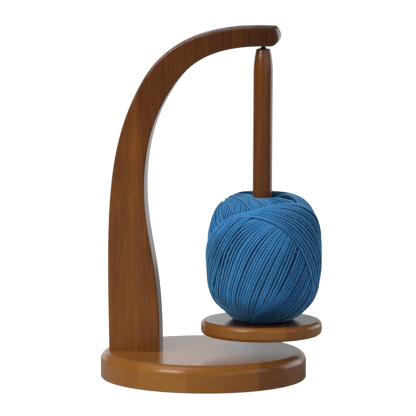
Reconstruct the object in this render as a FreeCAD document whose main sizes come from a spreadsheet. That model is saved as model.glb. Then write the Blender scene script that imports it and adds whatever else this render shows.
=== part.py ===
import FreeCAD, Part
import os

import Sketcher

# A wooden yarn holder. A flat curved arm stands on a round base and reaches over it; a spindle with a tray
# hangs from the arm's tip on a steel ball held by magnets, so that a ball of yarn on the tray can turn freely.
# Millimetres, +Z up. The origin is the centre of the pad's underside, and the arm lies in the XZ plane.

# The driving dimensions: alias, size, what it is.
DIMENSIONS = [
    ("pad_diameter", 150, "non-slip pad glued under the base"),
    ("pad_thickness", 1.5, ""),
    ("base_diameter", 170, "round base"),
    ("base_thickness", 22, ""),
    ("base_top_round", 7.5, "large round over the top edge"),
    ("base_bottom_ease", 1.5, "small round on the bottom edge"),
    ("arm_thickness", 28, "board that the arm is sawn from"),
    ("arm_edge_round", 1.8, "round along the front and back edges"),
    ("foot_start", -77, "outer side of the arm's foot"),
    ("foot_length", 42, ""),
    ("tip_top_across", 58.5, "upper corner of the arm's tip"),
    ("tip_top_rise", 269, ""),
    ("tip_low_across", 67, "lower corner of the arm's tip"),
    ("tip_low_rise", 253.2, ""),
    ("tip_top_round", 4, ""),
    ("tip_low_round", 7.5, ""),
    ("screw_spacing", 26, "two screws up through the base into the arm"),
    ("screw_shank", 4.5, ""),
    ("screw_clearance", 5, ""),
    ("screw_head", 9, "mouth of the countersink"),
    ("screw_head_play", 0.1, ""),
    ("screw_length", 45, ""),
    ("screw_recess", 2, "depth of the cross recess"),
    ("screw_blade", 1.1, "width of the cross recess's arms"),
    ("screw_cross", 4.6, "span of the cross recess"),
    ("dowel_diameter", 8, "two glued dowels beside the screws"),
    ("dowel_length", 30, ""),
    ("dowel_spacing", 14, ""),
    ("dowel_in_base", 13, "length of a dowel that lies in the base"),
    ("dowel_chamfer", 0.8, ""),
    ("spindle_across", 48, "axis of the hanging spindle"),
    ("roof_rise", 253, "underside of the arm over the spindle, above the base's top"),
    ("arm_magnet_diameter", 10, "disc magnet let into the arm's underside"),
    ("arm_magnet_thickness", 5, ""),
    ("magnet_chamfer", 0.3, ""),
    ("pivot_diameter", 6.35, "steel ball between the two magnets"),
    ("pivot_gap", 0.15, ""),
    ("seat_inner_radius", 3.3, "dished ring around the ball's lower half"),
    ("seat_outer_radius", 3.9, ""),
    ("seat_rim_angle", 8, "rim of the ring, below the ball's equator"),
    ("seat_floor_angle", 50, "lower edge of the ring, below the ball's equator"),
    ("spindle_magnet_drop", 4.05, "magnet's face below the ball's centre"),
    ("spindle_magnet_diameter", 8, ""),
    ("spindle_magnet_thickness", 5, ""),
    ("spindle_bore_diameter", 8.2, ""),
    ("spindle_bore_depth", 10.3, ""),
    ("spindle_diameter", 16, ""),
    ("neck_gap", 2.2, "between the arm's underside and the spindle's top"),
    ("crown_height", 20, "tapered top of the spindle"),
    ("crown_shoulder", 9, "pole that shapes the taper, below the top"),
    ("crown_radius", 5.6, ""),
    ("crown_ease", 1, ""),
    ("tray_clearance", 14.8, "between the base's top and the tray's underside"),
    ("tray_diameter", 100, ""),
    ("tray_thickness", 12, ""),
    ("tray_round", 4, ""),
    ("tray_socket", 6, "depth of the socket that holds the spindle's foot"),
    ("tray_screw_length", 30, "screw up through the tray into the spindle"),
    ("yarn_gap", 0.2, "under the wound ball"),
    ("yarn_hole_radius", 8.4, "hole that the spindle goes through"),
    ("yarn_foot_radius", 24, "flattened end that stands on the tray"),
    ("yarn_mouth_rise", 104.5, "dimple around the spindle"),
]

# Poles of the splines that shape the arm's two edges, from the foot up: across from the axis, above the base.
OUTER_EDGE = [(-78.8, 72), (-78.8, 136), (-63.4, 213.8), (-18.8, 272.4)]
INNER_EDGE = [(-34.7, 53.6), (-49.2, 105.8), (-49.1, 167), (-31.5, 217.8), (5.5, 257.3)]
# Poles of the spline that shapes the wound ball, from the tray up: radius, above the tray.
YARN_SIDE = [(43, 10.5), (47.5, 34), (49.2, 91), (25, 107.5)]

COUNTERSINK_ANGLE = 90
SCREW_TIP = 6
FULL_TURN = 360
DOCUMENT = FreeCAD.newDocument("yarn_holder")
ZERO = "0"


def fill_sheet():
    """Put every driving dimension in the sheet as a plain number with an alias."""
    sheet = DOCUMENT.addObject("Spreadsheet::Sheet", "dims")
    rows = list(DIMENSIONS)
    for name, poles in (("outer", OUTER_EDGE), ("inner", INNER_EDGE), ("yarn", YARN_SIDE)):
        for index, (across, rise) in enumerate(poles, start=1):
            rows.append((f"{name}_pole_{index}_across", across, f"{name} edge"))
            rows.append((f"{name}_pole_{index}_rise", rise, ""))
    for row, (alias, size, note) in enumerate(rows, start=1):
        sheet.set(f"A{row}", note)
        sheet.set(f"B{row}", str(size))
        sheet.setAlias(f"B{row}", alias)
    DOCUMENT.recompute()


def value(owner, expression):
    """The number that an expression over the sheet stands for."""
    result = owner.evalExpression(expression)
    return float(getattr(result, "Value", result))


def new_body(label, across=ZERO, rise=ZERO):
    """A body whose own origin lies at (across, 0, rise) in the holder's frame."""
    body = DOCUMENT.addObject("PartDesign::Body", label)
    body.Label = label
    body.setExpression("Placement.Base.x", across)
    body.setExpression("Placement.Base.z", rise)
    return body


def new_sketch(body, name, role, height=None):
    """A sketch on one of the body's own origin planes, raised along its normal where height is given."""
    sketch = body.newObject("Sketcher::SketchObject", name)
    plane = [feature for feature in body.Origin.OriginFeatures if feature.Role == role][0]
    sketch.AttachmentSupport = [(plane, "")]
    sketch.MapMode = "FlatFace"
    if height is not None:
        sketch.setExpression("AttachmentOffset.Base.z", height)
    return sketch


def bind_point(sketch, edge, position, point):
    """Hold a point of the sketch at the two distances that its expressions give."""
    for kind, expression in zip(("DistanceX", "DistanceY"), point):
        distance = Sketcher.Constraint(kind, -1, 1, edge, position, value(sketch, expression))
        index = sketch.addConstraint(distance)
        sketch.setExpression(f"Constraints[{index}]", expression)


def add_spline(sketch, points):
    """A clamped spline with even knots whose poles are all held at their expressions."""
    degree = min(3, len(points) - 1)
    spans = len(points) - degree
    vectors = [FreeCAD.Vector(value(sketch, x), value(sketch, y), 0) for x, y in points]
    multiplicities = [degree + 1] + [1] * (spans - 1) + [degree + 1]
    curve = Part.BSplineCurve()
    curve.buildFromPolesMultsKnots(vectors, multiplicities, list(range(spans + 1)), False, degree)
    edge = sketch.addGeometry(curve, False)
    first_pole = sketch.GeometryCount
    sketch.exposeInternalGeometry(edge)
    for offset, point in enumerate(points):
        bind_point(sketch, first_pole + offset, 3, point)
    return edge


def add_line(sketch, start, end):
    ends = [FreeCAD.Vector(value(sketch, x), value(sketch, y), 0) for x, y in (start, end)]
    return sketch.addGeometry(Part.LineSegment(*ends), False)


def draw_outline(sketch, path):
    """A closed outline. Each entry is a corner and the poles of the spline to the next corner, or none."""
    edges = []
    for index, (corner, poles) in enumerate(path):
        following = path[(index + 1) % len(path)][0]
        if poles:
            edges.append(add_spline(sketch, [corner, *poles, following]))
        else:
            edges.append(add_line(sketch, corner, following))
    for index, (corner, poles) in enumerate(path):
        sketch.addConstraint(Sketcher.Constraint("Coincident", edges[index - 1], 2, edges[index], 1))
        spline_ends_here = bool(path[index - 1][1])
        if not poles and not spline_ends_here:
            bind_point(sketch, edges[index], 1, corner)


def add_circle(sketch, diameter, centre=(ZERO, ZERO)):
    middle = FreeCAD.Vector(value(sketch, centre[0]), value(sketch, centre[1]), 0)
    normal = FreeCAD.Vector(0, 0, 1)
    edge = sketch.addGeometry(Part.Circle(middle, normal, value(sketch, diameter) / 2), False)
    index = sketch.addConstraint(Sketcher.Constraint("Diameter", edge, value(sketch, diameter)))
    sketch.setExpression(f"Constraints[{index}]", diameter)
    bind_point(sketch, edge, 3, centre)


def turn(label, path, across=ZERO, rise=ZERO):
    """A turned piece: the outline (radius, height) revolved about the body's own Z axis."""
    body = new_body(label, across, rise)
    sketch = new_sketch(body, f"{label}_outline", "XZ_Plane")
    draw_outline(sketch, path)
    revolution = body.newObject("PartDesign::Revolution", f"{label}_turned")
    revolution.Profile = (sketch, [""])
    revolution.ReferenceAxis = (sketch, ["V_Axis"])
    revolution.Angle = FULL_TURN
    DOCUMENT.recompute()
    return body


def disc(label, diameter, thickness, across=ZERO, rise=ZERO):
    """A plain disc or short rod standing on the body's own XY plane."""
    body = new_body(label, across, rise)
    sketch = new_sketch(body, f"{label}_circle", "XY_Plane")
    add_circle(sketch, diameter)
    pad = body.newObject("PartDesign::Pad", f"{label}_pad")
    pad.Profile = (sketch, [""])
    pad.setExpression("Length", thickness)
    DOCUMENT.recompute()
    return body


def dress(body, kind, name, size, chosen):
    """Fillet or chamfer the edges of the body's last feature that chosen(edge) picks."""
    base = body.Tip
    names = [f"Edge{index}" for index, edge in enumerate(base.Shape.Edges, start=1) if chosen(edge)]
    feature = body.newObject(f"PartDesign::{kind}", name)
    feature.Base = (base, names)
    feature.setExpression("Radius" if kind == "Fillet" else "Size", size)
    DOCUMENT.recompute()
    return feature


def cut_upward(body, name, diameter, depth, centres, height=None):
    """Blind round holes cut from the sketch's plane towards +Z. The volume shows that they cut."""
    before = body.Shape.Volume
    sketch = new_sketch(body, f"{name}_circles", "XY_Plane", height)
    for centre in centres:
        add_circle(sketch, diameter, centre)
    pocket = body.newObject("PartDesign::Pocket", name)
    pocket.Profile = (sketch, [""])
    pocket.Reversed = True
    pocket.setExpression("Length", depth)
    DOCUMENT.recompute()
    if not body.Shape.Volume < before - 1:
        raise RuntimeError(f"{body.Label}: {name} removed nothing")


def drill_upward(body, name, centres):
    """Countersunk clearance holes from the body's underside right through it."""
    before = body.Shape.Volume
    sketch = new_sketch(body, f"{name}_circles", "XY_Plane")
    for centre in centres:
        add_circle(sketch, "dims.screw_clearance", centre)
    DOCUMENT.recompute()
    hole = body.newObject("PartDesign::Hole", name)
    hole.Profile = (sketch, [""])
    hole.Reversed = True
    hole.Threaded = False
    hole.DepthType = "ThroughAll"
    hole.setExpression("Diameter", "dims.screw_clearance")
    hole.HoleCutType = "Countersink"
    hole.setExpression("HoleCutDiameter", "dims.screw_head")
    hole.HoleCutCountersinkAngle = COUNTERSINK_ANGLE
    DOCUMENT.recompute()
    if not body.Shape.Volume < before - 1:
        raise RuntimeError(f"{body.Label}: {name} removed nothing")


def at_height(level):
    """Picks the round edges of a turned or padded body that lie flat at one height of its own frame."""
    return lambda edge: edge.BoundBox.ZLength < 1e-4 and abs(edge.BoundBox.ZMin - level) < 1e-4


def pole_list(name, poles):
    """The spline poles held in the sheet under one name."""
    pairs = range(1, len(poles) + 1)
    return [(f"dims.{name}_pole_{index}_across", f"dims.{name}_pole_{index}_rise") for index in pairs]


# ---- Heights and places that several pieces share ----
BASE_TOP = "dims.pad_thickness + dims.base_thickness"
TRAY_BOTTOM = f"{BASE_TOP} + dims.tray_clearance"
TRAY_TOP = f"{TRAY_BOTTOM} + dims.tray_thickness"
ROOF = f"{BASE_TOP} + dims.roof_rise"
PIVOT = f"{ROOF} - dims.pivot_gap - dims.pivot_diameter / 2"
SPINDLE_TOP = f"{ROOF} - dims.neck_gap"
FOOT_MIDDLE = "dims.foot_start + dims.foot_length / 2"
SCREW_PLACES = [(f"{FOOT_MIDDLE} {sign} dims.screw_spacing / 2", ZERO) for sign in "-+"]
DOWEL_PLACES = [(FOOT_MIDDLE, f"{sign}dims.dowel_spacing / 2") for sign in "-+"]


def make_base_pad():
    return disc("base_pad", "dims.pad_diameter", "dims.pad_thickness")


def make_base():
    """Round base: rounded over at the top, with holes from below for the arm's screws and from above for dowels."""
    body = disc("base", "dims.base_diameter", "dims.base_thickness", rise="dims.pad_thickness")
    top = value(body, "dims.base_thickness")
    dress(body, "Fillet", "top_round", "dims.base_top_round", at_height(top))
    dress(body, "Fillet", "bottom_ease", "dims.base_bottom_ease", at_height(0))
    drill_upward(body, "screw_holes", SCREW_PLACES)
    floor = "dims.base_thickness - dims.dowel_in_base"
    cut_upward(body, "dowel_holes", "dims.dowel_diameter", "dims.dowel_in_base", DOWEL_PLACES, floor)
    return body


def make_arm():
    """Flat curved arm: a board sawn to two splines, with a slanting rounded tip and eased edges."""
    body = new_body("arm", rise=BASE_TOP)
    sketch = new_sketch(body, "arm_outline", "XZ_Plane")
    outline = [
        (("dims.foot_start", ZERO), pole_list("outer", OUTER_EDGE)),
        (("dims.tip_top_across", "dims.tip_top_rise"), []),
        (("dims.tip_low_across", "dims.tip_low_rise"), pole_list("inner", INNER_EDGE)[::-1]),
        (("dims.foot_start + dims.foot_length", ZERO), []),
    ]
    draw_outline(sketch, outline)
    board = body.newObject("PartDesign::Pad", "arm_board")
    board.Profile = (sketch, [""])
    board.SideType = "Symmetric"
    board.setExpression("Length", "dims.arm_thickness")
    DOCUMENT.recompute()

    half = value(body, "dims.arm_thickness") / 2
    for corner in ("tip_top", "tip_low"):
        across = value(body, f"dims.{corner}_across")

        def runs_across_tip(edge, across=across):
            box = edge.BoundBox
            return box.YLength > half and box.XLength < 1e-4 and abs(box.XMin - across) < 1e-3

        dress(body, "Fillet", f"{corner}_rounded", f"dims.{corner}_round", runs_across_tip)

    def outlines_a_face(edge):
        box = edge.BoundBox
        return box.YLength < 1e-4 and abs(abs(box.YMin) - half) < 1e-3 and box.ZMax > 1e-3

    dress(body, "Fillet", "edges_eased", "dims.arm_edge_round", outlines_a_face)
    in_arm = "dims.dowel_length - dims.dowel_in_base"
    cut_upward(body, "dowel_holes_in_arm", "dims.dowel_diameter", in_arm, DOWEL_PLACES)
    pilot_depth = "dims.screw_length - dims.base_thickness"
    cut_upward(body, "pilot_holes", "dims.screw_shank", pilot_depth, SCREW_PLACES)
    bore = "2 * dims.arm_magnet_thickness"
    below = "dims.roof_rise - dims.arm_magnet_thickness"
    places = [("dims.spindle_across", ZERO)]
    cut_upward(body, "magnet_bore", "dims.arm_magnet_diameter", bore, places, below)
    return body


def make_screw(label, length, across, rise):
    """Countersunk wood screw, head down, with a cross recess. Its thread is left plain."""
    head = "(dims.screw_head / 2 - dims.screw_head_play)"
    shank = "dims.screw_shank / 2"
    path = [
        ((ZERO, ZERO), []),
        ((head, ZERO), []),
        ((shank, f"{head} - {shank}"), []),
        ((shank, f"{length} - {SCREW_TIP}"), []),
        ((ZERO, length), []),
    ]
    body = turn(label, path, across, rise)
    sketch = new_sketch(body, f"{label}_cross", "XY_Plane")
    reach = "dims.screw_cross / 2"
    side = "dims.screw_blade / 2"
    quarter = [(reach, f"-{side}"), (reach, side), (side, side)]
    corners = []
    for x_sign, y_sign, swap in ((1, 1, False), (1, 1, True), (-1, -1, False), (-1, -1, True)):
        for x, y in quarter:
            turned = (f"-({y})", x) if swap else (x, y)
            corners.append((f"{x_sign} * ({turned[0]})", f"{y_sign} * ({turned[1]})"))
    draw_outline(sketch, [(corner, []) for corner in corners])
    recess = body.newObject("PartDesign::Pocket", f"{label}_recess")
    recess.Profile = (sketch, [""])
    recess.Reversed = True
    recess.setExpression("Length", "dims.screw_recess")
    DOCUMENT.recompute()
    return body


def make_arm_screws():
    screws = enumerate(SCREW_PLACES, start=1)
    return [make_screw(f"arm_screw_{n}", "dims.screw_length", place[0], "dims.pad_thickness") for n, place in screws]


def make_arm_dowels():
    """Two glued dowels across the foot, half in the base and half in the arm, with chamfered ends."""
    dowels = []
    for number, (across, along) in enumerate(DOWEL_PLACES, start=1):
        rise = f"{BASE_TOP} - dims.dowel_in_base"
        body = disc(f"arm_dowel_{number}", "dims.dowel_diameter", "dims.dowel_length", across, rise)
        body.setExpression("Placement.Base.y", along)
        top = value(body, "dims.dowel_length")
        for end, level in (("lower", 0), ("upper", top)):
            dress(body, "Chamfer", f"dowel_{number}_{end}_end", "dims.dowel_chamfer", at_height(level))
        dowels.append(body)
    return dowels


def make_magnet(label, diameter, thickness, rise):
    body = disc(label, diameter, thickness, "dims.spindle_across", rise)
    dress(body, "Chamfer", f"{label}_chamfer", "dims.magnet_chamfer", lambda edge: edge.BoundBox.ZLength < 1e-4)
    return body


def make_arm_magnet():
    return make_magnet("arm_magnet", "dims.arm_magnet_diameter", "dims.arm_magnet_thickness", ROOF)


def make_spindle_magnet():
    size = ("dims.spindle_magnet_diameter", "dims.spindle_magnet_thickness")
    rise = f"{PIVOT} - dims.spindle_magnet_drop - dims.spindle_magnet_thickness"
    return make_magnet("spindle_magnet", *size, rise)


def make_sphere(label, radius, lowest=None, highest=None):
    """A sphere about the pivot, or the part of it between two angles above its equator."""
    sphere = DOCUMENT.addObject("Part::Sphere", label)
    sphere.Label = label
    sphere.setExpression("Radius", radius)
    sphere.setExpression("Placement.Base.x", "dims.spindle_across")
    sphere.setExpression("Placement.Base.z", PIVOT)
    if lowest is not None:
        sphere.setExpression("Angle1", lowest)
        sphere.setExpression("Angle2", highest)
    return sphere


def make_pivot_ball():
    return make_sphere("pivot_ball", "dims.pivot_diameter / 2")


def make_ball_seat():
    """Dished ring that cups the ball's lower half, the space between two spheres about the pivot."""
    angles = ("-dims.seat_floor_angle", "-dims.seat_rim_angle")
    outside = make_sphere("seat_outside", "dims.seat_outer_radius", *angles)
    inside = make_sphere("seat_inside", "dims.seat_inner_radius")
    seat = DOCUMENT.addObject("Part::Cut", "ball_seat")
    seat.Label = "ball_seat"
    seat.Base = outside
    seat.Tool = inside
    DOCUMENT.recompute()
    return seat


def make_spindle_rod():
    """Dowel spindle with a tapered crown, a bore for the magnet at its top and a pilot hole at its foot."""
    length = f"({SPINDLE_TOP}) - ({TRAY_TOP}) + dims.tray_socket"
    full = "dims.spindle_diameter / 2"
    bore = "dims.spindle_bore_diameter / 2"
    pilot = "dims.screw_shank / 2"
    pilot_depth = "dims.tray_screw_length - dims.tray_thickness + dims.tray_socket"
    bore_floor = f"{length} - dims.spindle_bore_depth"
    crown_pole = (full, f"{length} - dims.crown_shoulder")
    path = [
        ((pilot, ZERO), []),
        ((full, ZERO), []),
        ((full, f"{length} - dims.crown_height"), [crown_pole]),
        (("dims.crown_radius", length), []),
        ((bore, length), []),
        ((bore, bore_floor), []),
        ((ZERO, bore_floor), []),
        ((ZERO, pilot_depth), []),
        ((pilot, pilot_depth), []),
    ]
    body = turn("spindle_rod", path, "dims.spindle_across", f"{TRAY_TOP} - dims.tray_socket")
    top = value(body, length)
    crown_radius = value(body, "dims.crown_radius")

    def rims_the_crown(edge):
        return at_height(top)(edge) and abs(edge.BoundBox.XMax - crown_radius) < 1e-3

    dress(body, "Fillet", "crown_eased", "dims.crown_ease", rims_the_crown)
    return body


def make_tray():
    """Round tray with rounded edges, a socket for the spindle and a countersunk hole from below."""
    body = disc("tray", "dims.tray_diameter", "dims.tray_thickness", "dims.spindle_across", TRAY_BOTTOM)
    thickness = value(body, "dims.tray_thickness")
    dress(body, "Fillet", "tray_top_round", "dims.tray_round", at_height(thickness))
    dress(body, "Fillet", "tray_bottom_round", "dims.tray_round", at_height(0))
    floor = "dims.tray_thickness - dims.tray_socket"
    cut_upward(body, "spindle_socket", "dims.spindle_diameter", "dims.tray_socket", [(ZERO, ZERO)], floor)
    drill_upward(body, "tray_screw_hole", [(ZERO, ZERO)])
    return body


def make_tray_screw():
    return make_screw("tray_screw", "dims.tray_screw_length", "dims.spindle_across", TRAY_BOTTOM)


def make_yarn_ball():
    """Barrel-shaped wound ball, flattened where it stands on the tray, with the spindle's hole through it."""
    hole = "dims.yarn_hole_radius"
    path = [
        ((hole, "dims.yarn_gap"), []),
        (("dims.yarn_foot_radius", "dims.yarn_gap"), pole_list("yarn", YARN_SIDE)),
        ((hole, "dims.yarn_mouth_rise"), []),
    ]
    return turn("yarn_ball", path, "dims.spindle_across", TRAY_TOP)


def make_pieces():
    pieces = [make_base_pad(), make_base(), make_arm()]
    pieces += make_arm_screws() + make_arm_dowels()
    pieces += [make_arm_magnet(), make_pivot_ball(), make_ball_seat(), make_spindle_magnet()]
    pieces += [make_spindle_rod(), make_tray(), make_tray_screw(), make_yarn_ball()]
    DOCUMENT.recompute()
    return pieces


def check(pieces):
    """Stop before anything is written if a feature failed or a piece isn't one valid solid."""
    for item in DOCUMENT.Objects:
        if "Invalid" in item.State or "Error" in item.State:
            raise RuntimeError(f"{item.Label} failed: {item.State}")
    for piece in pieces:
        shape = piece.Shape
        if shape.isNull() or not shape.isValid() or len(shape.Solids) != 1:
            raise RuntimeError(f"{piece.Label} isn't one valid solid")


def export(pieces):
    os.makedirs("parts", exist_ok=True)
    for piece in pieces:
        piece.Shape.exportStep(f"parts/{piece.Label}.step")
        box = piece.Shape.optimalBoundingBox(False)
        sizes = f"{box.XLength:.1f} x {box.YLength:.1f} x {box.ZLength:.1f} mm"
        print(f"{piece.Label}: {sizes}, from {box.ZMin:.2f} up to {box.ZMax:.2f} mm")


fill_sheet()
made = make_pieces()
check(made)
export(made)
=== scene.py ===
import math

import bpy
import numpy as np
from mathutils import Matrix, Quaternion, Vector


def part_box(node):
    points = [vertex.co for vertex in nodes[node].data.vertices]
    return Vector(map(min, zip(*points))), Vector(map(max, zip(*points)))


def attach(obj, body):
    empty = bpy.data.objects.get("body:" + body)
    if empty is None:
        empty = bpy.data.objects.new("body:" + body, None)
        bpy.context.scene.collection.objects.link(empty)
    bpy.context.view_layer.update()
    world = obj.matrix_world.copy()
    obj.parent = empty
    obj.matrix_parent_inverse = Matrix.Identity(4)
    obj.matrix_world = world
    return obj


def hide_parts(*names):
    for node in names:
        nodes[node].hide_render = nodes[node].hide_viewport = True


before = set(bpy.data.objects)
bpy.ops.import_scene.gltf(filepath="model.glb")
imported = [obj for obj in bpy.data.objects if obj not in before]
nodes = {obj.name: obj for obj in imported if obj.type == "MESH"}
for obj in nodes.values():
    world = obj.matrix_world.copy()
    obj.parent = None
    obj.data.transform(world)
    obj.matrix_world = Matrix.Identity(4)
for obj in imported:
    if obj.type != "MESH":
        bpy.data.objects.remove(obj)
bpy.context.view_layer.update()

MM = 0.001
FULL_TURN = 2 * math.pi

# A wooden yarn holder: stained and lacquered wood, and a wound ball of blue yarn on the hanging
# tray. Metres, +Z up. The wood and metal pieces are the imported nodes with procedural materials.
# The ball of yarn is wound here, strand by strand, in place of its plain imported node.


# ---------------------------------------------------------------- node helpers
# A Mix node's colour sockets, two in and one out.
MIX_FIRST, MIX_SECOND, MIX_RESULT = 6, 7, 2
# Noise keeps mostly within these values.
NOISE_LOW, NOISE_HIGH = 0.3, 0.7


class Graph:
    """A short way to write a material's node tree."""

    def __init__(self, name):
        self.material = bpy.data.materials.new(name)
        self.material.use_nodes = True
        self.tree = self.material.node_tree
        self.shader = self.tree.nodes["Principled BSDF"]
        self.place = self.add("ShaderNodeTexCoord").outputs["Object"]

    def add(self, kind, **settings):
        node = self.tree.nodes.new(kind)
        for name, setting in settings.items():
            setattr(node, name, setting)
        return node

    def feed(self, socket, source):
        """Link a source socket, or set a plain value."""
        if isinstance(source, bpy.types.NodeSocket):
            self.tree.links.new(source, socket)
        else:
            socket.default_value = source

    def paint(self, source):
        """Feed the shader's base colour."""
        self.feed(self.shader.inputs["Base Color"], source)

    def stretch(self, scale, source=None):
        node = self.add("ShaderNodeMapping")
        self.feed(node.inputs["Vector"], source or self.place)
        node.inputs["Scale"].default_value = scale
        return node.outputs["Vector"]

    def noise(self, vector, detail=3.0, roughness=0.55, distortion=0.0):
        """Noise with one cell to each unit of the vector: stretch() alone sets how fine it is."""
        node = self.add("ShaderNodeTexNoise")
        self.feed(node.inputs["Vector"], vector)
        node.inputs["Scale"].default_value = 1.0
        node.inputs["Detail"].default_value = detail
        node.inputs["Roughness"].default_value = roughness
        node.inputs["Distortion"].default_value = distortion
        return node.outputs["Fac"]

    def maths(self, operation, first, second):
        node = self.add("ShaderNodeMath", operation=operation)
        self.feed(node.inputs[0], first)
        self.feed(node.inputs[1], second)
        return node.outputs[0]

    def sway(self, tone, parts):
        """Add parts to a tone. Each part is (a value that varies about 0.5, its weight)."""
        for part, weight in parts:
            off_middle = self.maths("SUBTRACT", part, 0.5)
            tone = self.maths("ADD", tone, self.maths("MULTIPLY", off_middle, weight))
        return tone

    def span(self, value, low, high, to_low=0.0, to_high=1.0):
        """Map low..high to to_low..to_high, clamped."""
        node = self.add("ShaderNodeMapRange")
        self.feed(node.inputs["Value"], value)
        names = ("From Min", "From Max", "To Min", "To Max")
        for name, number in zip(names, (low, high, to_low, to_high)):
            node.inputs[name].default_value = number
        return node.outputs["Result"]

    def ramp(self, value, stops, interpolation="LINEAR"):
        """A colour ramp. Each stop is (position, colour)."""
        node = self.add("ShaderNodeValToRGB")
        self.feed(node.inputs["Fac"], value)
        elements = node.color_ramp.elements
        node.color_ramp.interpolation = interpolation
        for index, (position, colour) in enumerate(stops):
            # A new ramp already has two stops.
            element = elements[index] if index < 2 else elements.new(position)
            element.position = position
            element.color = (*colour, 1.0)
        return node.outputs["Color"]

    def mix(self, amount, first, second):
        node = self.add("ShaderNodeMix", data_type="RGBA", blend_type="MIX")
        self.feed(node.inputs["Factor"], amount)
        for index, source in ((MIX_FIRST, first), (MIX_SECOND, second)):
            is_socket = isinstance(source, bpy.types.NodeSocket)
            self.feed(node.inputs[index], source if is_socket else (*source, 1.0))
        return node.outputs[MIX_RESULT]

    def bump(self, height, strength, distance):
        node = self.add("ShaderNodeBump")
        self.feed(node.inputs["Height"], height)
        node.inputs["Strength"].default_value = strength
        node.inputs["Distance"].default_value = distance
        self.feed(self.shader.inputs["Normal"], node.outputs["Normal"])

    def part(self, axis):
        """One coordinate of the place on the object, in metres."""
        node = self.add("ShaderNodeSeparateXYZ")
        self.feed(node.inputs[0], self.place)
        return node.outputs["XYZ".index(axis)]

    def attribute(self, name):
        return self.add("ShaderNodeAttribute", attribute_name=name).outputs["Fac"]

    def constant(self, **values):
        """Set constants on the shader's own sockets, such as coat_ior=1.5 for Coat IOR."""
        for name, number in values.items():
            title = name.replace("_", " ").title().replace("Ior", "IOR")
            self.shader.inputs[title].default_value = number


def linear(red, green, blue):
    """A colour given as 0 to 255 sRGB values, as the linear numbers that a shader takes."""
    parts = [value / 255 for value in (red, green, blue)]
    return tuple(
        part / 12.92 if part <= 0.04045 else ((part + 0.055) / 1.055) ** 2.4 for part in parts
    )


# ---------------------------------------------------------------- wood
STAIN_DARK = linear(52, 23, 5)
STAIN_MID = linear(100, 52, 16)
STAIN_WARM = linear(140, 82, 26)
STAIN_LIGHT = linear(176, 118, 48)
STAIN_STOPS = [(0.12, STAIN_DARK), (0.42, STAIN_MID), (0.66, STAIN_WARM), (0.95, STAIN_LIGHT)]

# Noise cells to a metre across the fibres, and the share of that along them.
FINE_GRAIN, BROAD_GRAIN, WIDE_GRAIN, PORE_GRAIN = 900, 150, 40, 1500
ALONG_FIBRES = 0.028
BLOTCHES = 22
# How much the fine, broad and wide grain and the blotches each move the tone.
GRAIN_WEIGHTS = (0.46, 0.22, 0.12, 0.18)
STAVE_CONTRAST = 0.6
LAST_STAVE = 0.03
# The heights that an upward change of tone starts and ends at. On the arm that change is painted
# shade, darker higher up.
CHANGE_FOOT, CHANGE_TOP = 0.05, 0.28
# The tone painted round shaded_at: full out to the first distance, and none beyond the second.
SHADE_NEAR, SHADE_FAR, SHADE_TONE = 0.034, 0.049, -0.8
# Only the highest of the pore noise shows as pores.
PORE_LOW, PORE_HIGH, PORE_STRENGTH = 0.63, 0.72, 0.45
WOOD_RELIEF = 0.12


def stained_wood(
    name, grain, across, staves, lighter=0.0, upward=0.0, figure=1.0, seed=0.0, shaded_at=None
):
    """Walnut-stained wood under satin lacquer, glued up from staves.

    grain is the axis that the fibres run along, across the axis that the staves lie side by side
    on, and staves a list of (where a stave starts along across in metres, its tone from 0 dark to
    1 light). upward is how much the tone changes from the foot of the object to its top, painted
    shade where the top is darker, standing in for light that falls off higher up. figure is how
    strong the grain is, and shaded_at a place round which the tone is painted darker, standing in
    for the shade under the ball.
    """
    g = Graph(name)
    fibre = [1.0, 1.0, 1.0]
    fibre["XYZ".index(grain)] = ALONG_FIBRES
    mapping = g.add("ShaderNodeMapping")
    g.feed(mapping.inputs["Vector"], g.place)
    mapping.inputs["Location"].default_value = (seed, seed * 0.7, seed * 1.3)
    moved = mapping.outputs["Vector"]

    def grained(cells, **settings):
        return g.noise(g.stretch([cells * share for share in fibre], moved), **settings)

    fine = grained(FINE_GRAIN, detail=4.0, roughness=0.6)
    broad = grained(BROAD_GRAIN, detail=3.0, distortion=0.6)
    wide = grained(WIDE_GRAIN, detail=2.0)
    blotch = g.noise(g.stretch([BLOTCHES] * 3, moved), detail=2.0)

    low, high = staves[0][0], staves[-1][0] + LAST_STAVE
    position = g.span(g.part(across), low, high)
    stops = [((start - low) / (high - low), (tone, tone, tone)) for start, tone in staves]
    stave = g.ramp(position, stops, "CONSTANT")

    tone = g.maths("MULTIPLY", g.maths("SUBTRACT", stave, 0.5), STAVE_CONTRAST)
    grains = zip((fine, broad, wide, blotch), GRAIN_WEIGHTS)
    tone = g.sway(tone, [(part, figure * weight) for part, weight in grains])
    tone = g.maths("ADD", tone, 0.5 + lighter)
    # Painted shade: the tone changes with height, darker higher up where it is negative.
    if upward:
        change = g.span(g.part("Z"), CHANGE_FOOT, CHANGE_TOP, 0.0, upward)
        tone = g.maths("ADD", tone, change)
    if shaded_at:
        away = g.add("ShaderNodeVectorMath", operation="DISTANCE")
        g.feed(away.inputs[0], g.place)
        away.inputs[1].default_value = shaded_at
        shade = g.span(away.outputs["Value"], SHADE_NEAR, SHADE_FAR, SHADE_TONE, 0.0)
        tone = g.maths("ADD", tone, shade)
    pore = g.span(grained(PORE_GRAIN, detail=1.0), PORE_LOW, PORE_HIGH)
    pore_depth = g.maths("MULTIPLY", pore, PORE_STRENGTH * figure)
    g.paint(g.mix(pore_depth, g.ramp(tone, STAIN_STOPS), STAIN_DARK))
    g.feed(g.shader.inputs["Roughness"], g.span(broad, NOISE_LOW, NOISE_HIGH, 0.45, 0.6))
    relief = g.maths("ADD", g.maths("MULTIPLY", fine, 0.6), g.maths("MULTIPLY", pore, -0.5))
    g.bump(relief, WOOD_RELIEF * figure**2, 0.0002)
    g.constant(specular_ior_level=0.1, coat_weight=1.0, coat_roughness=0.2, coat_ior=1.38)
    return g.material
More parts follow.
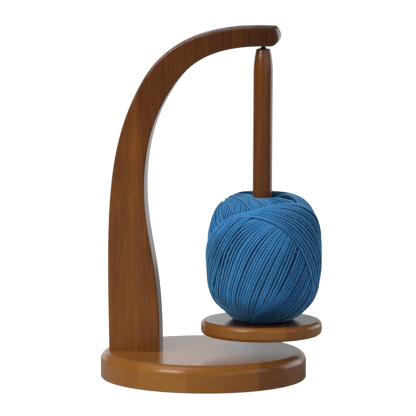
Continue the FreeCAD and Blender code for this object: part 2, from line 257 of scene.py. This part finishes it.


# ---------------------------------------------------------------- other materials
# The yarn's colours by tone. Most of the tone is painted shade and highlight: dark in the gaps
# between strands and down their sides, light on their crowns.
YARN_GAP_SHADE = linear(10, 42, 86)
YARN_SHADE = linear(24, 84, 144)
YARN_BODY = linear(52, 138, 206)
YARN_LIGHT = linear(118, 188, 236)
YARN_STOPS = [(0.0, YARN_GAP_SHADE), (0.25, YARN_SHADE), (0.55, YARN_BODY), (0.9, YARN_LIGHT)]
# The inner yarn's blue is darker than the strands': painted shade.
CORE_DARK, CORE_LIGHT = linear(8, 30, 64), linear(16, 52, 98)
BEECH_DARK, BEECH_LIGHT = linear(176, 138, 96), linear(206, 172, 128)
FOAM_DARK, FOAM_LIGHT = (0.012, 0.012, 0.013), (0.035, 0.035, 0.037)

# The crown runs from -1 under a strand to 1 on its outer side; below the first value it is all gap.
# It paints shade and light: dark down a strand's sides and in the gaps, lighter on its crown.
CROWN_LOW, CROWN_HIGH, CROWN_SHADE_TONE = 0.45, 1.0, 0.8
# How much the tone changes along the strand, over the ball, by the plies and from loop to loop.
# The plies' part is painted shade, darker in the grooves between them.
ALONG_WEIGHT, PATCH_WEIGHT, PLY_SHADE_WEIGHT, LOOP_WEIGHT = 0.44, 0.22, 0.14, 0.34
# Heights between which the painted shade at the foot of the ball fades out.
FOOT_SHADE_START, FOOT_SHADE_END, FOOT_SHADE_TONE = 0.052, 0.074, -0.5


def yarn_material():
    """Plied blue yarn: fibres along the strand, a painted highlight on its crown, painted shade
    down its sides.
    """
    g = Graph("plied_yarn")
    strand = g.add("ShaderNodeUVMap", uv_map="strand").outputs["UV"]
    along = g.noise(g.stretch([0.5, 9, 1], strand), detail=3.0, roughness=0.65)
    patch = g.noise(g.stretch([70, 70, 70]), detail=2.0)
    by_loop = g.noise(g.stretch([0.05, 0, 0], strand), detail=1.0)
    # Painted shade: darker in the grooves between the plies.
    ply = g.attribute("ply")
    # Painted shade and highlight: dark down a strand's sides and in the gaps, lighter on its crown.
    crown = g.span(g.attribute("crown"), CROWN_LOW, CROWN_HIGH)
    tone = g.maths("MULTIPLY", crown, CROWN_SHADE_TONE)
    weights = (ALONG_WEIGHT, PATCH_WEIGHT, PLY_SHADE_WEIGHT, LOOP_WEIGHT)
    tone = g.sway(tone, zip((along, patch, ply, by_loop), weights))
    # Painted shade: darker towards the foot of the ball, standing in for the deep shade where the
    # ball sits on the tray.
    foot_shade = g.span(g.part("Z"), FOOT_SHADE_START, FOOT_SHADE_END, FOOT_SHADE_TONE, 0.0)
    g.paint(g.ramp(g.maths("ADD", tone, foot_shade), YARN_STOPS))
    fuzz = g.noise(g.stretch([2.5, 30, 1], strand), detail=2.0)
    g.bump(fuzz, 0.4, 0.0002)
    g.shader.inputs["Sheen Tint"].default_value = (0.35, 0.75, 1.0, 1.0)
    g.constant(
        roughness=0.85, sheen_weight=0.75, sheen_roughness=0.45, specular_ior_level=0.15
    )
    return g.material


def core_material():
    """The yarn deep inside the ball, seen only between strands. Its blue is darker than the
    strands': painted shade.
    """
    g = Graph("inner_yarn_shade")
    streaks = g.noise(g.stretch([260, 260, 900]), detail=3.0)
    g.paint(g.ramp(streaks, [(NOISE_LOW, CORE_DARK), (NOISE_HIGH, CORE_LIGHT)]))
    g.bump(streaks, 0.5, 0.0005)
    g.constant(roughness=0.95)
    return g.material


def metal(name, colour, roughness):
    g = Graph(name)
    streaks = g.noise(g.stretch([200, 200, 2400]), detail=2.0)
    g.paint(g.mix(streaks, colour, tuple(part * 0.8 for part in colour)))
    uneven = g.span(streaks, NOISE_LOW, NOISE_HIGH, roughness * 0.8, roughness * 1.3)
    g.feed(g.shader.inputs["Roughness"], uneven)
    g.constant(metallic=1.0)
    return g.material


def foam_rubber():
    g = Graph("foam_rubber")
    cells = g.noise(g.stretch([1600, 1600, 1600]), detail=2.0)
    g.paint(g.ramp(cells, [(NOISE_LOW, FOAM_DARK), (NOISE_HIGH, FOAM_LIGHT)]))
    g.feed(g.shader.inputs["Roughness"], g.span(cells, NOISE_LOW, NOISE_HIGH, 0.8, 0.95))
    g.bump(cells, 0.5, 0.0003)
    return g.material


def plain_beech():
    g = Graph("plain_beech")
    fibre = g.noise(g.stretch([900, 900, 26]), detail=3.0)
    g.paint(g.ramp(fibre, [(NOISE_LOW, BEECH_DARK), (NOISE_HIGH, BEECH_LIGHT)]))
    g.bump(fibre, 0.3, 0.0002)
    g.constant(roughness=0.7)
    return g.material


# Each stave's tone. On the arm and the base the staves get darker towards +X: partly the wood's own
# colour, partly painted shade for the light falling off away from the key light on the left.
ARM_STAVES = [(-0.080, 0.62), (-0.0625, 0.66), (-0.0535, 0.58), (-0.018, 0.50), (0.006, 0.42),
              (0.032, 0.31)]
BASE_STAVES = [(-0.090, 0.70), (-0.058, 0.62), (-0.046, 0.72), (-0.006, 0.58), (0.024, 0.52),
               (0.052, 0.30)]
TRAY_STAVES = [(-0.010, 0.55), (0.018, 0.62), (0.052, 0.68), (0.072, 0.52)]
ROD_STAVES = [(0.030, 0.46), (0.060, 0.46)]
SPINDLE_X = 0.048


def paint_nodes():
    """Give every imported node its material."""
    under_ball = (SPINDLE_X, 0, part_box("tray")[1][2])
    steel = metal("bright_steel", (0.55, 0.55, 0.56), 0.22)
    dark_steel = metal("dark_steel", (0.10, 0.085, 0.07), 0.35)
    nickel = metal("nickel_plate", (0.62, 0.60, 0.57), 0.18)
    beech = plain_beech()
    materials = {
        # The arm's tone is painted darker towards its top: painted shade.
        "arm": stained_wood("stained_arm", "Z", "X", ARM_STAVES, upward=-0.17),
        "base": stained_wood(
            "stained_base", "Y", "X", BASE_STAVES, lighter=0.21, figure=0.35, seed=0.31
        ),
        "tray": stained_wood(
            "stained_tray", "Y", "X", TRAY_STAVES, lighter=0.18, figure=0.5, seed=0.57,
            shaded_at=under_ball,
        ),
        "spindle_rod": stained_wood(
            "stained_spindle", "Z", "X", ROD_STAVES, figure=0.5, seed=0.83
        ),
        "base_pad": foam_rubber(),
        "arm_screw_1": steel,
        "arm_screw_2": steel,
        "tray_screw": steel,
        "pivot_ball": dark_steel,
        "ball_seat": dark_steel,
        "arm_magnet": nickel,
        "spindle_magnet": nickel,
        "arm_dowel_1": beech,
        "arm_dowel_2": beech,
    }
    for name, material in materials.items():
        for place in nodes[name].material_slots:
            place.material = material


# ---------------------------------------------------------------- the ball of yarn: its numbers
YARN_RADIUS = 1.36 * MM
PLIES = 3
PLY_DEPTH = 0.08
RING_POINTS = 9
TWIST_PITCH = 10 * MM
RING_STEP = 1.2 * MM
LOOP_SAMPLES = 210

# How a crossing strand rests on those under it: yarn is soft, so it adds less than its thickness.
# Strands nearer than CONTACT touch. A whole winding adds LAYER, and within a winding the loops pile
# up by DEEPEST_PILE at most. A taut strand bridges dips of PULL_WIDTH samples on either side.
CONTACT = 2.5 * MM
LAYER = 1.1 * MM
DEEPEST_PILE = 0.3 * MM
PULL_WIDTH = 4
# Every third point of the strands already laid is close enough together to feel them by.
LAID_STEP = 3
# Strands that crowd together don't lie level: some stand a little prouder than their neighbours.
PROUD = 0.12 * MM
BARREL_INSET = YARN_RADIUS + 3.4 * MM
# How near a strand's centre line comes to the spindle's axis, and how far the yarn is off the tray.
ROD_CLEARANCE = 9.9 * MM
TRAY_CLEARANCE = 0.1 * MM
# The top of the ball dips in towards the spindle, more on the +X side by this share.
DIMPLE_DEPTH = 2.6 * MM
DIMPLE_SIDE = 0.6
DIMPLE_RADIUS = 24 * MM

# The ball is rounder on its lower shoulders, fuller on its upper ones, flatter along the -X side,
# and leans to +X. Each pair is for the -X side and the +X side.
TRIM = (2.2 * MM, 0.8 * MM)
SWELL = (1.0 * MM, 1.0 * MM)
SHOULDER_RISE = math.radians(50)
SHOULDER_SPREAD = math.radians(15)
FLAT = 1.5 * MM
FLAT_RISE = math.radians(-12)
FLAT_SPREAD = math.radians(22)
LEAN = 1.0 * MM
LEAN_RADIUS = 30 * MM
PROFILE_STEPS = 240
# Keeps the division by a direction's level part safe near the poles.
LEAST_LEVEL = 0.05

# Yarn wound by hand is uneven. Loops run ahead of their keys and behind them, by a number of loops
# that comes and goes at a number of radians a loop, and strands drift off their plane by DRIFT.
SLOW_WANDER, SLOW_RATE = 0.15, 0.93
QUICK_WANDER, QUICK_RATE = 0.1, 2.31
DRIFT = math.radians(0.22)
# Rounds of working out where a flat plane cuts a ball that isn't round.
PLANE_ROUNDS = 6

# The core: a closed barrel under the lowest strands, with waves like the edges of strands.
CORE_HOLE = 8.6 * MM
CORE_WALL = 0.4 * MM
CORE_INSET = 0.6 * MM
CORE_LIFT = 1.0 * MM
CORE_RISE_STEPS = 60
CORE_ROUND_STEPS = 120
CORE_WAVE = 0.004
CORE_WAVES_ROUND = 37
CORE_WAVES_UP = 900

# A winding is a list of keys, newest yarn first: loops ago, the way that the loop's axis points
# round the spindle and its tilt from the spindle, both in degrees, and where the loop's plane cuts
# that axis, in mm from the ball's centre.
# The newest loops cross the front as a band and go over the far shoulder.
BAND_WINDING = {
    "keys": [(0, 79, 65, -22), (3.5, 83, 56, -10), (6.5, 95, 56, -8), (11, 113, 60, -7),
             (15, 130, 61, -6)],
    "seed": 1.9,
}
# Under the band, the outer winding covers the front.
OUTER_WINDING = {
    "keys": [(0, 86, 67, -25), (2.5, 96, 70, -26), (6, 110, 70, -27), (11, 124, 70, -28),
             (18, 153, 67, -24), (23, 180, 67, -16), (25.5, 221, 68, 8), (30, 250, 66, 16),
             (48, 257, 66, -20)],
    "seed": 0.7,
}
# The next one down covers the back in the same way, turned half round.
BACK_WINDING = {
    "keys": [(0, 266, 67, -25), (2.5, 276, 70, -26), (6, 290, 70, -27), (11, 304, 70, -28),
             (18, 333, 67, -24), (23, 360, 67, -16), (25.5, 401, 68, 8), (30, 430, 66, 16)],
    "seed": 1.3,
}
# The older winding runs close to the spindle and fans out from it over the top.
UNDER_WINDING = {"keys": [(0, 260, 80.5, -1), (48, 450, 79.5, -1.5)], "seed": 2.9}
# What lies under it stays away from there.
INNER_WINDING = {"keys": [(0, 40, 62, 0), (80, 400, 62, 0)], "seed": 4.1}
# From the inside out: each winding's name, its keys, and how many pieces it is cut into.
WINDINGS = (
    ("yarn_inner", INNER_WINDING, 3),
    ("yarn_under", UNDER_WINDING, 2),
    ("yarn_back", BACK_WINDING, 2),
    ("yarn_outer", OUTER_WINDING, 2),
    ("yarn_band", BAND_WINDING, 1),
)


# ---------------------------------------------------------------- the ball of yarn: how it is wound
def from_axis(points):
    """How far points are from the spindle's axis."""
    return np.hypot(points[..., 0], points[..., 1])


class Barrel:
    """The wound ball's outer shape, read from the node that it replaces."""

    def __init__(self, node):
        low, high = (np.array(corner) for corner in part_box(node))
        self.centre = (low + high) / 2
        self.floor = low[2] - self.centre[2]
        corners = np.array([vertex.co for vertex in nodes[node].data.vertices]) - self.centre
        rise = np.arctan2(corners[:, 2], from_axis(corners))
        order = np.argsort(rise)
        self.rise = np.linspace(rise.min(), rise.max(), PROFILE_STEPS)
        self.reach = np.interp(self.rise, rise[order], np.linalg.norm(corners, axis=1)[order])

    def reach_at(self, directions):
        """How far the barrel's surface lies along each unit vector."""
        rise = np.arcsin(np.clip(directions[..., 2], -1, 1))
        side = np.clip(directions[..., 0] / np.maximum(np.cos(rise), LEAST_LEVEL), -1, 1)
        shoulder = np.exp(-(((np.abs(rise) - SHOULDER_RISE) / SHOULDER_SPREAD) ** 2))
        fullness = np.where(rise < 0, -np.where(side < 0, *TRIM), np.where(side < 0, *SWELL))
        change = fullness * np.abs(side) * shoulder
        flat = FLAT * np.minimum(side, 0) * np.exp(-(((rise - FLAT_RISE) / FLAT_SPREAD) ** 2))
        return np.interp(rise, self.rise, self.reach) + change + flat

    def spread(self, directions, inset):
        """Send unit vectors out to the barrel's surface, less the inset."""
        points = directions * (self.reach_at(directions) - inset)[..., None]
        points[..., 0] += LEAN * np.clip(from_axis(points) / LEAN_RADIUS, 0, 1) ** 2
        return points


def glide(keys, column, loops):
    """Read one column of the keys at each loop number, with the corners at the keys smoothed."""
    at = [key[0] for key in keys]
    given = [key[column] for key in keys]
    shifts = (-1.5, -1, -0.5, 0, 0.5, 1, 1.5)
    return sum(np.interp(loops + shift, at, given) for shift in shifts) / len(shifts)


def plan_loops(barrel, keys, seed):
    """The loops of one winding as unit vectors, newest first. Each starts at its lowest point."""
    count = keys[-1][0]
    loops = np.arange(count * LOOP_SAMPLES) / LOOP_SAMPLES
    angles = FULL_TURN * loops
    number = (
        loops
        + SLOW_WANDER * np.sin(SLOW_RATE * loops + seed)
        + QUICK_WANDER * np.sin(QUICK_RATE * loops + 2 * seed)
    )
    turn, tilt = (np.radians(glide(keys, column, number)) for column in (1, 2))
    offset = glide(keys, 3, number) * MM
    # Two waves round each loop, whose heights come and go from loop to loop out of step.
    one_wave = np.sin(2.4 * loops + seed) * np.sin(angles + 0.6 * loops)
    drift = one_wave + 0.6 * np.sin(5.1 * loops) * np.sin(2 * angles)
    axis = np.stack([np.sin(tilt) * np.cos(turn), np.sin(tilt) * np.sin(turn), np.cos(tilt)], 1)
    down = np.stack([np.cos(tilt) * np.cos(turn), np.cos(tilt) * np.sin(turn), -np.sin(tilt)], 1)
    side = np.cross(axis, down)
    round_way = np.cos(angles)[:, None] * down + np.sin(angles)[:, None] * side
    reach = barrel.reach.min()
    for _ in range(PLANE_ROUNDS):
        ring = np.arccos(offset / reach) + DRIFT * drift
        directions = np.cos(ring)[:, None] * axis + np.sin(ring)[:, None] * round_way
        reach = barrel.reach_at(directions)
    return directions.reshape(count, LOOP_SAMPLES, 3)


def soften(values, width):
    """Average a closed loop's values over a number of neighbours on each side."""
    total = sum(np.roll(values, shift) for shift in range(-width, width + 1))
    return total / (2 * width + 1)


def settle(loops):
    """How far each loop, oldest first, stands off the barrel. It rests on the loops under it."""
    heights = np.zeros(loops.shape[:2], np.float32)
    for number, loop in enumerate(loops):
        if number:
            laid = loops[:number, ::LAID_STEP].reshape(-1, 3)
            laid_heights = heights[:number, ::LAID_STEP].reshape(1, -1)
            apart = (loop**2).sum(1)[:, None] + (laid**2).sum(1)[None] - 2 * loop @ laid.T
            lift = LAYER * np.sqrt(np.clip(1 - apart / CONTACT**2, 0, 1))
            rest = np.where(apart < CONTACT**2, laid_heights + lift, 0).max(1)
            taut = np.maximum.reduce([np.roll(rest, shift) for shift in (-1, 0, 1)])
            smooth = soften(soften(taut, PULL_WIDTH), PULL_WIDTH)
            heights[number] = DEEPEST_PILE * np.tanh(smooth / DEEPEST_PILE)
    return heights


def pass_rod(points):
    """Lead each stretch of a strand that would cut the spindle round it, on its nearer side."""
    inside = from_axis(points) < ROD_CLEARANCE
    for start, end in np.flatnonzero(np.diff(np.r_[0, inside, 0])).reshape(-1, 2):
        stretch = points[start:end, :2]
        ahead = points[min(end, len(points) - 1), :2] - points[max(start - 1, 0), :2]
        ahead = ahead / np.linalg.norm(ahead)
        aside = np.array([-ahead[1], ahead[0]])
        along, off = stretch @ ahead, stretch @ aside
        way = 1 if off.mean() >= 0 else -1
        clear = np.sqrt(np.maximum(ROD_CLEARANCE**2 - along**2, 0))
        led = (way * np.maximum(way * off, clear))[:, None] * aside
        points[start:end, :2] = along[:, None] * ahead + led
    return points


def lay_yarn(barrel, winding, layer):
    """Centre line of a winding that lies on a number of others, as points about the centre."""
    directions = plan_loops(barrel, **winding)[::-1].astype(np.float32)
    points = barrel.spread(directions, BARREL_INSET).astype(np.float32)
    level = from_axis(points)
    outwards = (level - ROD_CLEARANCE) / (DIMPLE_RADIUS - ROD_CLEARANCE)
    dip = DIMPLE_DEPTH * np.clip(1 - outwards, 0, 1) ** 2
    dip *= 1 + DIMPLE_SIDE * points[..., 0] / level
    points[..., 2] -= np.where(points[..., 2] > 0, dip, 0)
    number = np.arange(len(points))[:, None]
    round_way = FULL_TURN * np.arange(LOOP_SAMPLES)[None, :] / LOOP_SAMPLES
    # Neighbouring loops stand proud in different places.
    proud = PROUD * np.sin(2.2 * number + 3 * np.sin(round_way + 0.3 * number))
    points = points + directions * (settle(points) + proud + LAYER * layer)[..., None]
    points[..., 2] = np.maximum(points[..., 2], barrel.floor + YARN_RADIUS + TRAY_CLEARANCE)
    # The plan was turned round to lay its oldest loop first. Along the strand the newest is first.
    return pass_rod(points[::-1].reshape(-1, 3))


def resample(points, step):
    """Points at an even step along a line, and how far along it each one is."""
    lengths = np.r_[0, np.cumsum(np.linalg.norm(np.diff(points, axis=0), axis=1))]
    at = np.arange(0, lengths[-1], step)
    return np.stack([np.interp(at, lengths, points[:, axis]) for axis in range(3)], 1), at


# ---------------------------------------------------------------- the ball of yarn: its meshes
def link(name, mesh):
    piece = bpy.data.objects.new(name, mesh)
    bpy.context.scene.collection.objects.link(piece)
    return piece


def strand_corners(at, rings):
    """The strand UV map: along the strand in turns of its own girth, and round it from 0 to 1."""
    along = at / (FULL_TURN * YARN_RADIUS)
    around = np.arange(RING_POINTS + 1) / RING_POINTS
    each_u = np.stack([along[:-1], along[:-1], along[1:], along[1:]], -1)[:, None]
    each_v = np.stack([around[:-1], around[1:], around[1:], around[:-1]], -1)[None]
    corner_u = np.repeat(each_u, RING_POINTS, axis=1)
    corner_v = np.repeat(each_v, rings - 1, axis=0)
    return np.stack([corner_u.ravel(), corner_v.ravel()], 1)


def strand_piece(name, centre, points, at, material):
    """A plied strand: a lobed ring carried along a centre line and turned by the yarn's twist."""
    ahead = np.gradient(points, axis=0)
    ahead /= np.linalg.norm(ahead, axis=1)[:, None]
    outward = points / np.linalg.norm(points, axis=1)[:, None]
    outward -= ahead * np.sum(outward * ahead, axis=1)[:, None]
    outward /= np.linalg.norm(outward, axis=1)[:, None]
    sideways = np.cross(ahead, outward)
    body = FULL_TURN * np.arange(RING_POINTS) / RING_POINTS
    lobes = np.cos(PLIES * body)
    turned = body[None, :] + FULL_TURN * at[:, None] / TWIST_PITCH
    reach = YARN_RADIUS * (1 - PLY_DEPTH / 2 + PLY_DEPTH * lobes)[None, :, None]
    ring = (
        np.cos(turned)[:, :, None] * outward[:, None, :]
        + np.sin(turned)[:, :, None] * sideways[:, None, :]
    )
    vertices = (points[:, None, :] + reach * ring).reshape(-1, 3) + centre

    rings = len(points)
    first = np.arange(rings - 1)[:, None] * RING_POINTS
    here = first + np.arange(RING_POINTS)[None, :]
    beside = first + (np.arange(RING_POINTS)[None, :] + 1) % RING_POINTS
    quads = np.stack([here, beside, beside + RING_POINTS, here + RING_POINTS], -1)
    start_cap = list(range(RING_POINTS))[::-1]
    end_cap = list(range((rings - 1) * RING_POINTS, rings * RING_POINTS))

    mesh = bpy.data.meshes.new(name)
    mesh.from_pydata(vertices.tolist(), [], quads.reshape(-1, 4).tolist() + [start_cap, end_cap])
    # The corners of the two caps keep a UV of zero.
    corners = np.zeros((len(mesh.loops), 2))
    side_corners = strand_corners(at, rings)
    corners[: len(side_corners)] = side_corners
    mesh.uv_layers.new(name="strand").data.foreach_set("uv", corners.ravel())
    for label, values in (
        # ply feeds the painted shade in the grooves between plies.
        ("ply", np.tile((lobes + 1) / 2, rings)),
        # The crown feeds the yarn's painted shade and highlight.
        ("crown", np.cos(turned).ravel()),
    ):
        attribute = mesh.attributes.new(label, "FLOAT", "POINT")
        attribute.data.foreach_set("value", values.astype(np.float32))
    mesh.shade_smooth()
    mesh.materials.append(material)
    return link(name, mesh)


def core_piece(barrel, material):
    """The older yarn inside: a closed barrel with the spindle's hole through it."""
    rises = np.linspace(barrel.rise[0], barrel.rise[-1], CORE_RISE_STEPS)
    outwards = np.stack([-np.cos(rises), 0 * rises, np.sin(rises)], 1)
    trimmed = barrel.spread(outwards, BARREL_INSET + CORE_INSET)
    dipped = (trimmed[:, 2] > 0) * (trimmed[:, 0] > -DIMPLE_RADIUS)
    outline = zip(np.abs(trimmed[:, 0]), trimmed[:, 2] - DIMPLE_DEPTH * dipped)
    profile = [
        (max(radius, CORE_HOLE + CORE_WALL), max(height, barrel.floor + CORE_LIFT))
        for radius, height in outline
    ]
    profile = [(CORE_HOLE, profile[0][1])] + profile + [(CORE_HOLE, profile[-1][1])]
    turn = FULL_TURN * np.arange(CORE_ROUND_STEPS) / CORE_ROUND_STEPS
    vertices, faces = [], []
    for radius, height in profile:
        waves = 1 + CORE_WAVE * np.sin(CORE_WAVES_ROUND * turn + height * CORE_WAVES_UP)
        swell = radius * waves if radius > 2 * CORE_HOLE else radius + 0 * turn
        ring = np.stack([swell * np.cos(turn), swell * np.sin(turn), height + 0 * turn], 1)
        vertices += (ring + barrel.centre).tolist()
    for level in range(len(profile)):
        here = level * CORE_ROUND_STEPS
        above = (level + 1) % len(profile) * CORE_ROUND_STEPS
        for index in range(CORE_ROUND_STEPS):
            beside = (index + 1) % CORE_ROUND_STEPS
            faces.append([here + index, here + beside, above + beside, above + index])
    mesh = bpy.data.meshes.new("yarn_core")
    mesh.from_pydata(vertices, [], faces)
    mesh.shade_smooth()
    mesh.materials.append(material)
    return link("yarn_core", mesh)


def make_yarn_ball():
    barrel = Barrel("yarn_ball")
    material = yarn_material()
    pieces = [core_piece(barrel, core_material())]
    for layer, (name, winding, share) in enumerate(WINDINGS):
        points, at = resample(lay_yarn(barrel, winding, layer), RING_STEP)
        ends = np.linspace(0, len(points) - 1, share + 1).astype(int)
        for number, (start, end) in enumerate(zip(ends[:-1], ends[1:]), 1):
            part = slice(start, end + 1)
            label = f"{name}_{number}"
            pieces.append(strand_piece(label, barrel.centre, points[part], at[part], material))
    for piece in pieces:
        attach(piece, "yarn")
        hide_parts("yarn_ball")


# ---------------------------------------------------------------- camera, floor and light
CAMERA_AZIMUTH = math.radians(5.8)
CAMERA_ELEVATION = math.radians(7.35)
CAMERA_ROLL = math.radians(0.3)
CAMERA_DISTANCE = 3.4
CAMERA_LENS = 357.2
CAMERA_SENSOR = 36
CAMERA_REACH = 50
AIM = Vector((0.0032, 0.0, 0.1421))

FLOOR_HALF = 6.0
FLOOR_LEVEL = -0.05 * MM
FLOOR_DARK, FLOOR_LIGHT = (0.48, 0.48, 0.47), (0.54, 0.54, 0.53)
BACKDROP_WHITE = (1.0, 1.0, 0.985, 1.0)
ROOM_DIM = (0.06, 0.06, 0.062, 1.0)


def make_camera():
    data = bpy.data.cameras.new("camera")
    data.lens = CAMERA_LENS
    data.sensor_width = CAMERA_SENSOR
    data.clip_end = CAMERA_REACH
    camera = bpy.data.objects.new("camera", data)
    bpy.context.scene.collection.objects.link(camera)
    level = math.cos(CAMERA_ELEVATION)
    back = Vector((
        math.sin(CAMERA_AZIMUTH) * level,
        -math.cos(CAMERA_AZIMUTH) * level,
        math.sin(CAMERA_ELEVATION),
    ))
    camera.location = AIM + back * CAMERA_DISTANCE
    turn = (-back).to_track_quat("-Z", "Y").to_matrix()
    line_of_sight = turn @ Vector((0, 0, 1))
    camera.rotation_mode = "QUATERNION"
    camera.rotation_quaternion = Quaternion(line_of_sight, CAMERA_ROLL) @ turn.to_quaternion()
    bpy.context.scene.camera = camera


def camera_ray(tree):
    return tree.nodes.new("ShaderNodeLightPath").outputs["Is Camera Ray"]


def make_floor():
    """A plain floor. The camera sees it pure white, but it throws back light as a mid grey.

    It lies a hair under the foam pad, so that the two faces don't share one plane.
    """
    corners = [
        (x * FLOOR_HALF, y * FLOOR_HALF, FLOOR_LEVEL)
        for x, y in ((-1, -1), (1, -1), (1, 1), (-1, 1))
    ]
    mesh = bpy.data.meshes.new("floor")
    mesh.from_pydata(corners, [], [(0, 1, 2, 3)])
    floor = link("floor", mesh)
    g = Graph("white_sweep")
    paper = g.noise(g.stretch([3, 3, 3]), detail=2.0)
    g.paint(g.ramp(paper, [(NOISE_LOW, FLOOR_DARK), (NOISE_HIGH, FLOOR_LIGHT)]))
    g.constant(roughness=0.9, specular_ior_level=0.0)
    g.shader.inputs["Emission Color"].default_value = BACKDROP_WHITE
    g.feed(g.shader.inputs["Emission Strength"], camera_ray(g.tree))
    mesh.materials.append(g.material)


def make_world():
    """A dim room. The camera sees it pure white behind the object."""
    world = bpy.data.worlds.new("studio")
    world.use_nodes = True
    tree = world.node_tree

    mix = tree.nodes.new("ShaderNodeMix")
    mix.data_type = "RGBA"
    tree.links.new(camera_ray(tree), mix.inputs["Factor"])
    mix.inputs[MIX_FIRST].default_value = ROOM_DIM
    mix.inputs[MIX_SECOND].default_value = BACKDROP_WHITE
    tree.links.new(mix.outputs[MIX_RESULT], tree.nodes["Background"].inputs["Color"])
    bpy.context.scene.world = world


def make_light(name, place, target, size, radiance, colour=(1, 1, 1)):
    """A softbox: a rectangle of even brightness facing its target."""
    data = bpy.data.lights.new(name, "AREA")
    data.shape = "RECTANGLE"
    data.size, data.size_y = size
    data.energy = radiance * math.pi * size[0] * size[1]
    data.color = colour
    lamp = bpy.data.objects.new(name, data)
    lamp.location = place
    lamp.rotation_euler = (Vector(target) - Vector(place)).to_track_quat("-Z", "Y").to_euler()
    lamp.visible_camera = False
    bpy.context.scene.collection.objects.link(lamp)


def make_lights():
    make_light("key", (-0.62, -0.90, 0.78), (-0.02, 0, 0.12), (0.55, 0.6), 10.3,
               (1.0, 0.97, 0.93))
    make_light("top", (-0.35, -0.15, 1.1), (0.02, 0, 0.1), (0.7, 0.7), 1.8)
    make_light("fill", (0.9, -1.3, 0.5), (0.02, 0, 0.12), (0.8, 0.8), 1.1, (0.95, 0.97, 1.0))
    make_light("side", (1.25, -0.5, 0.55), (0.05, 0, 0.12), (0.7, 0.7), 1.5)
    make_light("edge", (1.05, 0.75, 0.30), (0.05, 0, 0.12), (0.9, 0.6), 2.2)
    # Low white panels behind the object: they show in the lacquer of the flat tops and the sides.
    make_light("left_panel", (-0.55, 1.0, 0.14), (-0.55, 0, 0.14), (1.0, 0.42), 0.85)
    make_light("right_panel", (0.40, 1.0, 0.14), (0.40, 0, 0.14), (0.9, 0.42), 0.55)


paint_nodes()
make_yarn_ball()
make_camera()
make_floor()
make_world()
make_lights()
bpy.context.scene.view_settings.view_transform = "Standard"
